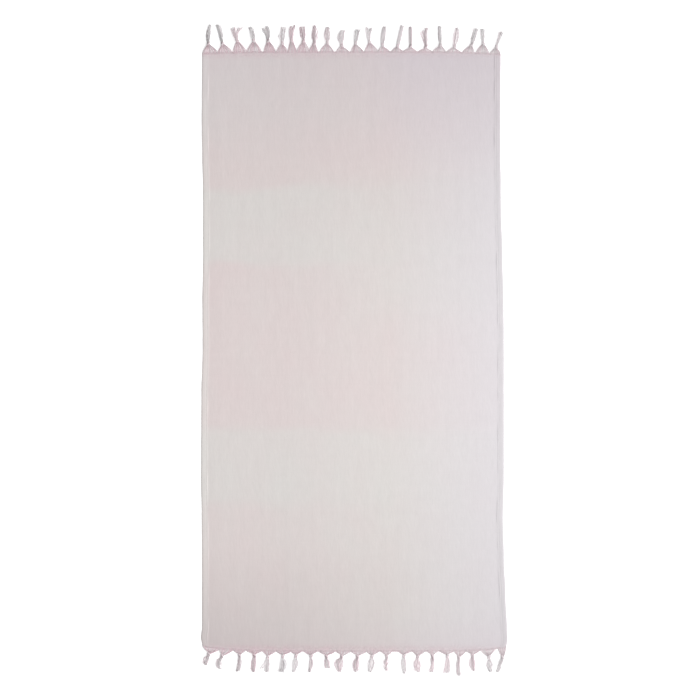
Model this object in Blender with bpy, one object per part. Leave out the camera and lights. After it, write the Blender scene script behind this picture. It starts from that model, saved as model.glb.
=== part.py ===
"""A hammam towel of thin woven cotton, laid out flat and face up.

One length of plain cloth with a narrow hem turned down each long side. At both ends the warp
is left long, gathered bunch by bunch and knotted, which makes a row of tassels.

Metres, +Z up. The towel rests on the plane z = 0 with its length along Y, its head end at +Y
and its width along X. The origin is under its middle. The tables are in millimetres.
"""

import math
from collections import namedtuple

import bmesh
import bpy
from mathutils import Vector

OBJECT_NAME = "hammam_towel"
MM = 0.001

# The cloth. It was woven 0.90 m wide and 1.80 m long between its fringes.
CLOTH_THICKNESS = 0.0015
HEM_WIDTH = 0.018
HEM_RISE = 0.0007  # how far a side hem, three layers deep, stands above the single cloth
HEM_SLOPE = 0.003  # the width over which a hem falls to the single cloth
BODY_COLUMNS = 7
ROW_STEP = 0.075  # the longest stretch of cloth between two cross sections

# The two ends of the weave: how far each lies from the origin, and how far its corners fall
# short of its middle.
End = namedtuple("End", "side y left_dip right_dip")
HEAD = End(1, 894, 5, 10)
FOOT = End(-1, 904, 16, 12)
DIP_POWER = 5  # an end runs straight and falls away only near its corners

# The outline: how far each long edge lies from the middle line, at stations along the towel.
Station = namedtuple("Station", "y left right")
OUTLINE_MM = (
    Station(-904, 456, 456),
    Station(-878, 460, 460),
    Station(-845, 457, 458),
    Station(-750, 457, 454),
    Station(-630, 457, 449),
    Station(-510, 458, 446),
    Station(-390, 460, 449),
    Station(-150, 459, 449),
    Station(20, 455, 449),
    Station(140, 456, 448),
    Station(270, 454, 445),
    Station(450, 454, 440),
    Station(690, 458, 438),
    Station(894, 457, 439),
)
HALF_WIDTH = 0.460

# The creases: low soft ridges that cross the towel where it was folded away, and how far each
# one reaches to the left and to the right of the middle line.
Crease = namedtuple("Crease", "y left right height half_width")
CREASES_MM = (
    Crease(787, 440, 300, 0.6, 16),
    Crease(493, 450, -60, 0.5, 14),
    Crease(262, 430, 60, 0.5, 16),
    Crease(4, 450, 440, 0.9, 14),
    Crease(-173, 380, 430, 0.7, 24),
    Crease(-234, 450, 420, 0.9, 12),
    Crease(-480, 250, 440, 0.4, 16),
    Crease(-812, 300, 350, 0.7, 12),
)

# The fringe
JOIN_GAP = 0.0003  # between the end of the weave and the fringe
SPINE_WIDTH = 0.003  # the last close picks, which hold the bunches in a row
SPINE_HEIGHT = 0.0018
SPINE_COLUMNS = 30
ROOT_LIFT = 0.0002  # where the gathered threads leave the spine
ROOT_HEIGHT = 0.0013
NECK_WIDTH = 0.009  # a bunch just beside its knot
NECK_HEIGHT = 0.0055
KNOT_WIDTH = 0.012
KNOT_HEIGHT = 0.0085
TUFT_HEIGHT = 0.006
TIP_HEIGHT = 0.003
TIP_TAPER = 0.7  # the last section's width, as a share of the width just before it
PRONG_SHARE = 0.8  # a parted tuft's second half, where it leaves the knot, against a whole neck
SECTION_SIDES = 8

# Where a bunch has its sections, as shares of the way from the weave to the knot, and how much
# of its gathering is still to come at the first.
GATHER_MIDDLE = 0.45
GATHER_MIDDLE_LEFT = 0.58
GATHER_END = 0.80

# Where a tuft has its sections, as shares of the way from the knot to the tip.
TUFT_NECK = 0.16
TUFT_MIDDLE = 0.50
TUFT_END = 0.86

# The tassels, from left to right: the stretch of the end that each bunch is gathered from, its
# knot, its tip, and the widths of its tuft and of the tuft's end. "out" is measured outwards
# from the end of the weave. "bow" is how far the tuft swings to the right of a straight line.
Tassel = namedtuple("Tassel", "root_from root_to knot_x knot_out tip_x tip_out bow width tip_width")
HEAD_TASSELS_MM = (
    Tassel(-453, -412, -438, 21, -436, 81, -3, 13, 4),
    Tassel(-407, -369, -396, 25, -411, 82, 2, 14, 12),
    Tassel(-362, -325, -351, 33, -363, 73, 0, 14, 11),
    Tassel(-321, -280, -302, 33, -311, 75, 0, 14, 15),
    Tassel(-269, -237, -259, 33, -263, 78, 2, 13, 10),
    Tassel(-231, -203, -216, 25, -213, 75, -4, 16, 12),
    Tassel(-196, -177, -188, 34, -188, 77, 0, 12, 9),
    Tassel(-171, -138, -153, 33, -157, 76, 0, 16, 16),
    Tassel(-134, -113, -121, 25, -120, 79, 0, 20, 6),
    Tassel(-101, -64, -81, 27, -79, 74, 0, 20, 12),
    Tassel(-52, -19, -38, 20, -34, 66, -4, 19, 12),
    Tassel(-8, 24, 4, 25, 8, 68, 0, 14, 15),
    Tassel(33, 68, 45, 30, 37, 73, 1, 12, 7),
    Tassel(72, 104, 84, 20, 90, 76, -1, 15, 11),
    Tassel(113, 143, 130, 17, 143, 79, 0, 10, 8),
    Tassel(148, 185, 168, 17, 169, 75, 0, 14, 14),
    Tassel(194, 231, 214, 15, 217, 71, -3, 15, 11),
    Tassel(237, 272, 257, 21, 255, 77, 0, 12, 6),
    Tassel(279, 317, 300, 16, 308, 72, 1, 16, 7),
    Tassel(327, 357, 351, 21, 366, 70, 0, 14, 13),
    Tassel(367, 402, 386, 25, 383, 68, 0, 13, 13),
    Tassel(409, 437, 426, 15, 440, 61, 0, 10, 9),
)
FOOT_TASSELS_MM = (
    Tassel(-453, -406, -436, 7, -447, 38, -2, 21, 12),
    Tassel(-404, -366, -397, 13, -406, 52, -5, 20, 12),
    Tassel(-361, -330, -344, 11, -350, 59, 3, 15, 10),
    Tassel(-320, -282, -300, 11, -304, 61, 0, 19, 9),
    Tassel(-272, -239, -259, 15, -262, 61, -1, 16, 10),
    Tassel(-231, -194, -214, 13, -222, 62, 5, 19, 19),
    Tassel(-188, -162, -175, 12, -183, 61, 3, 20, 6),
    Tassel(-148, -115, -129, 13, -135, 61, 3, 15, 5),
    Tassel(-104, -61, -84, 14, -81, 50, 0, 20, 15),
    Tassel(-52, -14, -38, 14, -44, 61, -5, 27, 9),
    Tassel(-8, 34, 9, 15, 6, 61, -3, 18, 14),
    Tassel(40, 71, 53, 14, 46, 61, 1, 21, 10),
    Tassel(84, 110, 97, 14, 97, 57, -2, 19, 9),
    Tassel(135, 166, 149, 12, 151, 65, -1, 15, 6),
    Tassel(179, 208, 190, 15, 190, 60, 0, 22, 14),
    Tassel(222, 246, 234, 12, 231, 61, 2, 18, 17),
    Tassel(258, 297, 279, 12, 276, 64, 2, 17, 19),
    Tassel(302, 332, 313, 17, 313, 72, 0, 16, 9),
    Tassel(337, 375, 354, 12, 358, 58, -3, 17, 8),
    Tassel(381, 422, 404, 16, 408, 61, -1, 19, 7),
    Tassel(433, 454, 439, 11, 429, 61, 1, 13, 6),
)

# Some tufts part below the knot. A prong belongs to the tassel of that number from the left.
Prong = namedtuple("Prong", "tassel tip_x tip_out width")
HEAD_PRONGS_MM = (
    Prong(3, -343, 71, 13),
    Prong(5, -275, 71, 10),
    Prong(7, -181, 81, 9),
    Prong(13, 47, 71, 9),
    Prong(17, 203, 65, 12),
)
FOOT_PRONGS_MM = (Prong(5, -277, 51, 5),)

CLOTH_COLOUR = (0.80, 0.72, 0.71, 1.0)
FRINGE_COLOUR = (0.78, 0.66, 0.67, 1.0)
COTTON_ROUGHNESS = 0.9


def clear_scene():
    for old in list(bpy.data.objects):
        bpy.data.objects.remove(old, do_unlink=True)


def make_collection(name):
    collection = bpy.data.collections.new(name)
    bpy.context.scene.collection.children.link(collection)
    return collection


def cotton(name, colour):
    material = bpy.data.materials.new(name)
    material.use_nodes = True
    shader = material.node_tree.nodes["Principled BSDF"]
    shader.inputs["Base Color"].default_value = colour
    shader.inputs["Roughness"].default_value = COTTON_ROUGHNESS
    shader.inputs["Metallic"].default_value = 0.0
    return material


def object_from(bm, name, collection):
    """A new object whose mesh is the given one, with its faces turned outwards."""
    bmesh.ops.recalc_face_normals(bm, faces=bm.faces[:])
    mesh = bpy.data.meshes.new(name)
    bm.to_mesh(mesh)
    bm.free()
    thing = bpy.data.objects.new(name, mesh)
    collection.objects.link(thing)
    return thing


def ease(share):
    """Goes from 0 to 1 with a level start and end, as cloth bends."""
    share = min(max(share, 0.0), 1.0)
    return share * share * (3 - 2 * share)


def edge_at(side, y):
    """How far the left or right edge lies from the middle line at y."""
    for low, high in zip(OUTLINE_MM, OUTLINE_MM[1:]):
        if y <= high.y * MM or high is OUTLINE_MM[-1]:
            share = ease((y / MM - low.y) / (high.y - low.y))
            near, far = getattr(low, side), getattr(high, side)
            return (near + (far - near) * share) * MM


def end_line(end, x):
    """How far an end of the weave lies from the origin at x."""
    dip = end.left_dip if x < 0 else end.right_dip
    return (end.y - dip * abs(x / HALF_WIDTH) ** DIP_POWER) * MM


def slab(bm, columns, rows, place, height):
    """A closed sheet with a flat underside, its grid set out by place and raised by height."""
    bmesh.ops.create_grid(bm, x_segments=columns, y_segments=rows, size=1.0)
    for vert in bm.verts:
        column = round((vert.co.x + 1) / 2 * columns)
        row = round((vert.co.y + 1) / 2 * rows)
        vert.co = Vector((*place(column, row), 0.0))
    raised = bmesh.ops.extrude_face_region(bm, geom=bm.faces[:])
    for vert in raised["geom"]:
        if isinstance(vert, bmesh.types.BMVert):
            vert.co.z = height(vert.co.x, vert.co.y)


def crease_lift(x, y):
    """The height that the creases add to the cloth at a point."""
    lift = 0.0
    for crease in CREASES_MM:
        off = abs(y / MM - crease.y) / crease.half_width
        reach = min(x / MM + crease.left, crease.right - x / MM) / (4 * crease.half_width)
        lift += crease.height * MM * ease(1 - off) * ease(reach)
    return lift


def cloth_rows():
    """The places along the towel of its cross sections: three at a crease, and others between."""
    marks = {-FOOT.y * MM, HEAD.y * MM}
    for crease in CREASES_MM:
        for side in (-1, 0, 1):
            marks.add((crease.y + side * crease.half_width) * MM)
    marks = sorted(marks)
    rows = [marks[0]]
    for mark in marks[1:]:
        steps = math.ceil((mark - rows[-1]) / ROW_STEP)
        start = rows[-1]
        rows += [start + (mark - start) * step / steps for step in range(1, steps + 1)]
    return rows


def make_cloth(collection):
    """The woven length with both its side hems: one sheet, flat below, soft creases above."""
    rows = cloth_rows()
    hem_lines = (0.0, HEM_WIDTH, HEM_WIDTH + HEM_SLOPE)
    last = BODY_COLUMNS + 2 * (len(hem_lines) - 1)

    def place(column, row):
        y = rows[row]
        left, right = -edge_at("left", y), edge_at("right", y)
        if column < len(hem_lines):
            x = left + hem_lines[column]
        elif last - column < len(hem_lines):
            x = right - hem_lines[last - column]
        else:
            inner = hem_lines[-1]
            share = (column - len(hem_lines) + 1) / BODY_COLUMNS
            x = left + inner + share * (right - left - 2 * inner)
        end = HEAD if y > 0 else FOOT
        return x, y * end_line(end, x) / (end.y * MM)

    def height(x, y):
        inside = min(x + edge_at("left", y), edge_at("right", y) - x)
        hem = HEM_RISE * ease(1 - (inside - HEM_WIDTH) / HEM_SLOPE)
        return CLOTH_THICKNESS + hem + crease_lift(x, y)

    bm = bmesh.new()
    slab(bm, last, len(rows) - 1, place, height)
    cloth = object_from(bm, "cloth", collection)
    cloth.data.materials.append(cotton("woven cotton", CLOTH_COLOUR))


def gather_sections(tassel, end):
    """A bunch from the end of the weave to its knot: middle, width, height and lift."""
    root_x = (tassel.root_from + tassel.root_to) / 2
    root = Vector((root_x * MM, end_line(end, root_x * MM) + JOIN_GAP + SPINE_WIDTH / 2, 0.0))
    knot = Vector((tassel.knot_x * MM, (end.y + tassel.knot_out) * MM, 0.0))
    root_width = (tassel.root_to - tassel.root_from) * MM
    middle_width = NECK_WIDTH + GATHER_MIDDLE_LEFT * (root_width - NECK_WIDTH)
    middle_height = (ROOT_HEIGHT + NECK_HEIGHT) / 2
    yield root, root_width, ROOT_HEIGHT, ROOT_LIFT
    yield root.lerp(knot, GATHER_MIDDLE), middle_width, middle_height, 0.0
    yield root.lerp(knot, GATHER_END), NECK_WIDTH, NECK_HEIGHT, 0.0
    yield knot, KNOT_WIDTH, KNOT_HEIGHT, 0.0


def tuft_sections(knot, tip, bow, width, tip_width):
    """A tuft from just past its knot to its tip."""
    form = (
        (TUFT_NECK, NECK_WIDTH, NECK_HEIGHT),
        (TUFT_MIDDLE, width, TUFT_HEIGHT),
        (TUFT_END, (width + tip_width) / 2, TUFT_HEIGHT),
        (1.0, tip_width * TIP_TAPER, TIP_HEIGHT),
    )
    for share, section_width, height in form:
        middle = knot.lerp(tip, share)
        middle.x += 4 * share * (1 - share) * bow
        yield middle, section_width, height, 0.0


def loft(bm, sections, side):
    """A closed body through elliptical sections that lie on the ground, each across its course."""
    middles = [section[0] for section in sections]
    rings = []
    for index, (middle, width, height, lift) in enumerate(sections):
        course = middles[min(index + 1, len(middles) - 1)] - middles[max(index - 1, 0)]
        across = Vector((course.y, -course.x, 0.0)).normalized()
        if index == 0:
            across = Vector((1.0, 0.0, 0.0))
        ring = []
        for corner in range(SECTION_SIDES):
            angle = 2 * math.pi * corner / SECTION_SIDES
            point = middle + across * (width / 2 * math.cos(angle))
            point.y *= side
            point.z = lift + height / 2 * (1 + math.sin(angle))
            ring.append(bm.verts.new(point))
        rings.append(ring)
    for ring, after in zip(rings, rings[1:]):
        for corner in range(SECTION_SIDES):
            beside = (corner + 1) % SECTION_SIDES
            bm.faces.new((ring[corner], ring[beside], after[beside], after[corner]))
    bm.faces.new(rings[0])
    bm.faces.new(rings[-1])


def make_tassels(bm, tassels, end):
    """Every bunch, knot and tuft of one fringe, flat at the root and round at the knot."""
    for tassel in tassels:
        sections = list(gather_sections(tassel, end))
        knot = sections[-1][0]
        tip = Vector((tassel.tip_x * MM, (end.y + tassel.tip_out) * MM, 0.0))
        widths = tassel.width * MM, tassel.tip_width * MM
        sections += tuft_sections(knot, tip, tassel.bow * MM, *widths)
        loft(bm, sections, end.side)


def make_prongs(bm, tassels, prongs, end):
    """The second half of each tuft that parts, from inside its knot."""
    for prong in prongs:
        tassel = tassels[prong.tassel - 1]
        knot = Vector((tassel.knot_x * MM, (end.y + tassel.knot_out) * MM, 0.0))
        tip = Vector((prong.tip_x * MM, (end.y + prong.tip_out) * MM, 0.0))
        width = prong.width * MM
        sections = [(knot, NECK_WIDTH * PRONG_SHARE, NECK_HEIGHT * PRONG_SHARE, ROOT_LIFT)]
        sections += tuft_sections(knot, tip, 0.0, width, width * TIP_TAPER)
        loft(bm, sections, end.side)


def join_to(body, bm, name, tools):
    """Unites the shapes of the given mesh with a body."""
    tool = object_from(bm, name, tools)
    tool.hide_render = True
    tool.display_type = "WIRE"
    union = body.modifiers.new(name, "BOOLEAN")
    union.operation = "UNION"
    union.solver = "EXACT"
    union.object = tool


def make_fringe(name, tassels, prongs, end, collection, tools):
    """One end's fringe: a narrow spine along the weave with every tassel joined to it."""
    y_end = end.y * end.side * MM
    left, right = -edge_at("left", y_end), edge_at("right", y_end)

    def place(column, row):
        x = left + (right - left) * column / SPINE_COLUMNS
        return x, end.side * (end_line(end, x) + JOIN_GAP + SPINE_WIDTH * row)

    bm = bmesh.new()
    slab(bm, SPINE_COLUMNS, 1, place, lambda x, y: SPINE_HEIGHT)
    fringe = object_from(bm, name, collection)
    fringe.data.materials.append(cotton(name + " cotton", FRINGE_COLOUR))

    bm = bmesh.new()
    make_tassels(bm, tassels, end)
    join_to(fringe, bm, name + "_tassels", tools)
    bm = bmesh.new()
    make_prongs(bm, tassels, prongs, end)
    join_to(fringe, bm, name + "_prongs", tools)


def main():
    clear_scene()
    towel = make_collection(OBJECT_NAME)
    tools = make_collection(OBJECT_NAME + "_tools")
    make_cloth(towel)
    make_fringe("fringe_head", HEAD_TASSELS_MM, HEAD_PRONGS_MM, HEAD, towel, tools)
    make_fringe("fringe_foot", FOOT_TASSELS_MM, FOOT_PRONGS_MM, FOOT, towel, tools)


main()
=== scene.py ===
"""A hammam towel of thin woven cotton, rose on ecru, laid out flat and seen from straight above.

The frame gives the towel's solids. Around them this script makes the cloth with its creases and
its turned hems, the stitching, the last picks of the weave, and the tassels, thread by thread.
Metres, +Z up, with the towel's length along Y. The tables, and the sizes of the fringes'
threads and of the last picks, are in millimetres.
"""

import math
from collections import namedtuple

import bpy
import numpy as np
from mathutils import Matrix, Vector, noise


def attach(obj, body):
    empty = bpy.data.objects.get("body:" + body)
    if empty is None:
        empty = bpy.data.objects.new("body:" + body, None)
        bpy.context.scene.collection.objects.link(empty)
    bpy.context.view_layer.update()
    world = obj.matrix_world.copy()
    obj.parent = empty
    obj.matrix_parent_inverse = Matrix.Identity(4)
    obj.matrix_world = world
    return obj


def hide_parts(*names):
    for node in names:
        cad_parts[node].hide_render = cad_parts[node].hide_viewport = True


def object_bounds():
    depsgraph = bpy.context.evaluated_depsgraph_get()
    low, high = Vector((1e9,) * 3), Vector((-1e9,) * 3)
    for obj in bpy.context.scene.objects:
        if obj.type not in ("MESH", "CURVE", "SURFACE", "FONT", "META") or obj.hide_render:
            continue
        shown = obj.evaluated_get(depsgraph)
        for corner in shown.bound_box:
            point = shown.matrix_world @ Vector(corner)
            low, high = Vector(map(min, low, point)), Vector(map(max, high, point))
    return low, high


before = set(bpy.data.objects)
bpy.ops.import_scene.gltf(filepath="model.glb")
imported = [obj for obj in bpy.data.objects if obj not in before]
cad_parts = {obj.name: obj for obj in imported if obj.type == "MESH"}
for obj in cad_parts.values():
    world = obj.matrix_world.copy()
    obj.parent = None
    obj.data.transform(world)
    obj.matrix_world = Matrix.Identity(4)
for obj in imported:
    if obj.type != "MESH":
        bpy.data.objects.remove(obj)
cad_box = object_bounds()
MM = 0.001
TABLE_TOP = cad_box[0].z


# ---------- the cloth
# One length of plain-woven cotton, a rose warp crossed by an ecru weft, dyed a little unevenly.
# It was folded away before it was laid out, which left soft ridges across it. Each long side is
# turned twice and sewn down as a narrow hem, three layers deep.

FLAT_WIDTH = 0.90
FLAT_LENGTH = 1.80
CLOTH_THICKNESS = 0.0008
BODY_COLUMNS = 120
CLOTH_ROWS = 272
LOOSE_PICKS = 0.028  # how far in from each end the weave is looser and its rose warp shows more

# The two ends of the weave: how far each lies from the origin, how far its corners fall short
# of its middle, how far the bunches pull it out at their middles and let it lie between, and how
# much of the rose has run into its last picks.
End = namedtuple("End", "side y left_dip right_dip pull rest stain")
HEAD = End(1, 894, 5, 10, 1.8, 0.8, 0.65)
FOOT = End(-1, 904, 16, 12, 1.1, -0.4, 1.0)
DIP_POWER = 5
HALF_WIDTH = 0.460

# The outline: how far each long edge lies from the middle line, at stations along the towel.
Station = namedtuple("Station", "y left right")
OUTLINE_MM = tuple(map(Station._make, (
    (-904, 456, 456), (-878, 460, 460), (-845, 457, 458), (-750, 457, 454),
    (-630, 457, 449), (-510, 458, 446), (-390, 460, 449), (-150, 459, 449),
    (20, 455, 449), (140, 456, 448), (270, 454, 445), (450, 454, 440),
    (690, 458, 438), (894, 457, 439),
)))

# The creases: low soft ridges that cross the towel where it was folded away, and how far each
# one reaches to the left and to the right of the middle line.
Crease = namedtuple("Crease", "y left right height half_width")
CREASES_MM = tuple(map(Crease._make, (
    (787, 440, 300, 0.6, 16), (493, 450, -60, 0.5, 14),
    (262, 430, 60, 0.5, 16), (4, 450, 440, 0.9, 14),
    (-173, 380, 430, 0.7, 24), (-234, 450, 420, 0.9, 12),
    (-480, 250, 440, 0.4, 16), (-812, 300, 350, 0.7, 12),
)))

# A side hem from its outer edge inwards: the height of its upper face, which rolls over at the
# edge, dips along the row of stitches and steps down to the single cloth.
HemPoint = namedtuple("HemPoint", "inside top")
HEM_MM = tuple(map(HemPoint._make, (
    (0.0, 0.9), (0.8, 1.6), (2.4, 2.0), (6.0, 1.9), (10.0, 1.8), (13.4, 1.8),
    (15.0, 1.3), (16.6, 1.8), (18.2, 1.7), (19.2, 0.9), (22.0, 0.8), (27.0, 0.8),
)))
STITCH_LINE = 0.0150
HEM_INSIDE = 0.0180  # where the hem's colour gives way to the single cloth's
HEM_STEP = 0.0012

# How unevenly the cloth lies: broad swells, a crinkle that runs with the warp, and the puckers
# of the hems. Each has a size across, a size along and a height.
Unevenness = namedtuple("Unevenness", "across along height")
SWELL = Unevenness(0.210, 0.260, 0.0007)
CRINKLE = Unevenness(0.026, 0.110, 0.00065)
COCKLE = Unevenness(0.085, 0.030, 0.00030)
PUCKER = Unevenness(0.300, 0.021, 0.00035)
EDGE_WANDER = Unevenness(1.000, 0.045, 0.0006)
LIES_FREE = 0.060  # how far inside a long edge the hem's weight stops counting

# How the inner folds of the hems were pressed: the length of a stretch, how much of the fold's
# height it can take, and where across the hem it begins.
PRESS_LENGTH = 0.075
PRESS_DEPTH = 0.85
PRESS_FROM = 0.008


def ease(share):
    """Goes from 0 to 1 with a level start and end, as cloth bends."""
    share = min(max(share, 0.0), 1.0)
    return share * share * (3 - 2 * share)


def edge_at(side, y):
    """How far the left or right edge lies from the middle line at y."""
    for low, high in zip(OUTLINE_MM, OUTLINE_MM[1:]):
        if y <= high.y * MM or high is OUTLINE_MM[-1]:
            share = ease((y / MM - low.y) / (high.y - low.y))
            near, far = getattr(low, side), getattr(high, side)
            return (near + (far - near) * share) * MM


def end_line(end, x):
    """How far an end of the weave lies from the origin at x."""
    dip = end.left_dip if x < 0 else end.right_dip
    return (end.y - dip * abs(x / HALF_WIDTH) ** DIP_POWER) * MM


def uneven(form, x, y, layer):
    """A smooth wandering height from 0 to the form's own height."""
    value = noise.noise(Vector((x / form.across, y / form.along, layer)))
    return form.height * (0.5 + 0.5 * value)


def crease_lift(x, y):
    """The height that the creases add to the cloth at a point."""
    lift = 0.0
    for number, crease in enumerate(CREASES_MM):
        wander = 6 * noise.noise(Vector((x / 0.16, number, 21.0)))
        off = abs(y / MM - crease.y + wander) / crease.half_width
        if off < 1:
            reach = min(x / MM + crease.left, crease.right - x / MM) / (4 * crease.half_width)
            strength = 0.75 + 0.5 * noise.noise(Vector((x / 0.09, number, 5.0)))
            lift += crease.height * MM * ease(1 - off) * ease(reach) * strength
    return lift


def hem_top(inside):
    """The height of the upper face at a distance inside a long edge, above where it lies."""
    for low, high in zip(HEM_MM, HEM_MM[1:]):
        if inside <= high.inside * MM:
            share = (inside / MM - low.inside) / (high.inside - low.inside)
            return (low.top + (high.top - low.top) * share) * MM
    return CLOTH_THICKNESS


def cloth_lift(x, y, inside):
    """How far the underside stands off the table. The hems' own weight keeps them down."""
    free = ease(inside / LIES_FREE)
    body = uneven(SWELL, x, y, 1.0) + uneven(CRINKLE, x, y, 2.0) + uneven(COCKLE, x, y, 3.0)
    hem = uneven(PUCKER, x, y, 4.0)
    return free * (body + crease_lift(x, y)) + (1 - free) * hem


def cloth_surface(x, y):
    """The heights of the cloth's lower and upper faces at a point. The inner fold of a hem is
    pressed flatter in some stretches than in others."""
    inside = max(min(x + edge_at("left", y), edge_at("right", y) - x), 0.0)
    lower = TABLE_TOP + cloth_lift(x, y, inside)
    left_or_right = 0.0 if x < 0 else 7.0
    pressed = ease(0.6 + 1.6 * noise.noise(Vector((left_or_right, y / PRESS_LENGTH, 14.0))))
    fold = 1 - PRESS_DEPTH * pressed * ease((inside - PRESS_FROM) / PRESS_FROM)
    return lower, lower + CLOTH_THICKNESS + (hem_top(inside) - CLOTH_THICKNESS) * fold


def edge_wander(y):
    """How far both long edges wander to the right at y."""
    return EDGE_WANDER.height * noise.noise(Vector((0.0, y / EDGE_WANDER.along, 6.0)))


def across_at(column, last, y):
    """The x of a column of the cloth: close together over the hems, even between them."""
    wander = edge_wander(y)
    left, right = -edge_at("left", y) + wander, edge_at("right", y) + wander
    if column < len(HEM_MM):
        return left + HEM_MM[column].inside * MM
    if last - column < len(HEM_MM):
        return right - HEM_MM[last - column].inside * MM
    inner = HEM_MM[-1].inside * MM
    share = (column - len(HEM_MM) + 1) / BODY_COLUMNS
    return left + inner + share * (right - left - 2 * inner)


def deselect_all():
    bpy.ops.object.select_all(action="DESELECT")


def turn_faces_out():
    """Makes every closed shape of the active object face outwards."""
    bpy.ops.object.mode_set(mode="EDIT")
    bpy.ops.mesh.select_all(action="SELECT")
    bpy.ops.mesh.normals_make_consistent(inside=False)
    bpy.ops.object.mode_set(mode="OBJECT")


def set_uv(mesh, name, places):
    """Gives the mesh a UV map from one place for each corner."""
    layer = mesh.uv_layers.new(name=name)
    layer.data.foreach_set("uv", np.asarray(places, np.float32).ravel())


def set_value(mesh, name, values):
    """Gives each vertex of the mesh a number of that name, for its material."""
    layer = mesh.attributes.new(name, "FLOAT", "POINT")
    layer.data.foreach_set("value", np.asarray(values, np.float32))


def weave_cloth():
    """The sheet: a grid pushed into the cloth's outline, and extruded to its thickness."""
    last = BODY_COLUMNS + 2 * (len(HEM_MM) - 1)
    deselect_all()
    bpy.ops.mesh.primitive_grid_add(x_subdivisions=last, y_subdivisions=CLOTH_ROWS, size=2)
    cloth = bpy.context.object
    cloth.name = "cloth_sheet"
    bpy.ops.object.mode_set(mode="EDIT")
    bpy.ops.mesh.select_all(action="SELECT")
    bpy.ops.mesh.extrude_region()
    bpy.ops.object.mode_set(mode="OBJECT")

    mesh = cloth.data
    weave, hem, edge = [], [], []
    for vert in mesh.vertices:
        column = round((vert.co.x + 1) / 2 * last)
        along = (vert.co.y + 1) / 2
        y = (along * (HEAD.y + FOOT.y) - FOOT.y) * MM
        x = across_at(column, last, y)
        end = HEAD if y > 0 else FOOT
        reach = end_line(end, x) + scallop(end, x) * ease(3 * abs(y / (end.y * MM)) - 2)
        lower, upper = cloth_surface(x, y)
        vert.co = (x, y * reach / (end.y * MM), upper if vert.select else lower)
        left, right = across_at(0, last, y), across_at(last, last, y)
        inside = min(x - left, right - x)
        weave.append(((x - left) / (right - left) * FLAT_WIDTH, along * FLAT_LENGTH))
        hem.append(1 - ease((inside - HEM_INSIDE) / HEM_STEP))
        edge.append(ease((abs(vert.co.y) - end.y * MM + LOOSE_PICKS) / LOOSE_PICKS) * end.stain)
    corners = np.empty(len(mesh.loops), int)
    mesh.loops.foreach_get("vertex_index", corners)
    while mesh.uv_layers:
        mesh.uv_layers.remove(mesh.uv_layers[0])
    set_uv(mesh, "weave", np.array(weave)[corners])
    set_value(mesh, "hem", hem)
    set_value(mesh, "edge", edge)
    turn_faces_out()
    bpy.ops.object.shade_smooth()
    return cloth


# The tassels, from left to right: the stretch of the end that each bunch is gathered from, its
# knot, its tip, the widths of its tuft and of the tuft's end, and how much rose its tuft has kept.
# "out" is measured outwards from the end of the weave. "bow" is how far the tuft swings to the
# right of a straight line.
Tassel = namedtuple("Tassel", "root_from root_to knot_x knot_out tip_x tip_out bow width tip_width rose")
HEAD_TASSELS_MM = tuple(map(Tassel._make, (
    (-454, -412, -438, 25, -434, 81, -1, 14, 4, 0.1),
    (-407, -369, -396, 25, -411, 82, 2, 14, 12, 0.05),
    (-362, -325, -351, 33, -364, 74, 0, 18, 18, 0.6),
    (-321, -280, -302, 33, -311, 75, 0, 14, 15, 0.1),
    (-269, -237, -259, 33, -263, 78, 2, 13, 10, 0.1),
    (-231, -203, -216, 26, -211, 75, -2, 15, 12, 0.25),
    (-196, -177, -188, 34, -190, 77, 0, 12, 7, 0.8),
    (-171, -138, -153, 33, -157, 76, 0, 16, 16, 0.8),
    (-134, -113, -121, 25, -120, 79, 0, 23, 6, 0.7),
    (-101, -64, -81, 27, -79, 74, 0, 20, 12, 0.4),
    (-52, -19, -38, 20, -34, 66, -4, 19, 12, 0.3),
    (-8, 24, 4, 25, 8, 68, 0, 13, 18, 0.05),
    (33, 68, 45, 30, 36, 75, 1, 12, 5, 0.3),
    (72, 104, 84, 20, 90, 76, -1, 15, 11, 0.35),
    (113, 143, 130, 17, 143, 79, 0, 10, 8, 0.35),
    (148, 185, 168, 17, 169, 75, 0, 14, 14, 0.5),
    (194, 231, 214, 15, 217, 71, -3, 15, 11, 0.6),
    (237, 272, 257, 21, 255, 77, 0, 12, 6, 0.05),
    (279, 317, 300, 16, 308, 72, 1, 16, 7, 0.35),
    (327, 357, 351, 21, 366, 70, 0, 14, 13, 0.25),
    (367, 402, 386, 25, 383, 68, 0, 13, 13, 0.1),
    (409, 437, 426, 15, 440, 61, 0, 10, 9, 0.2),
)))
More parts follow.
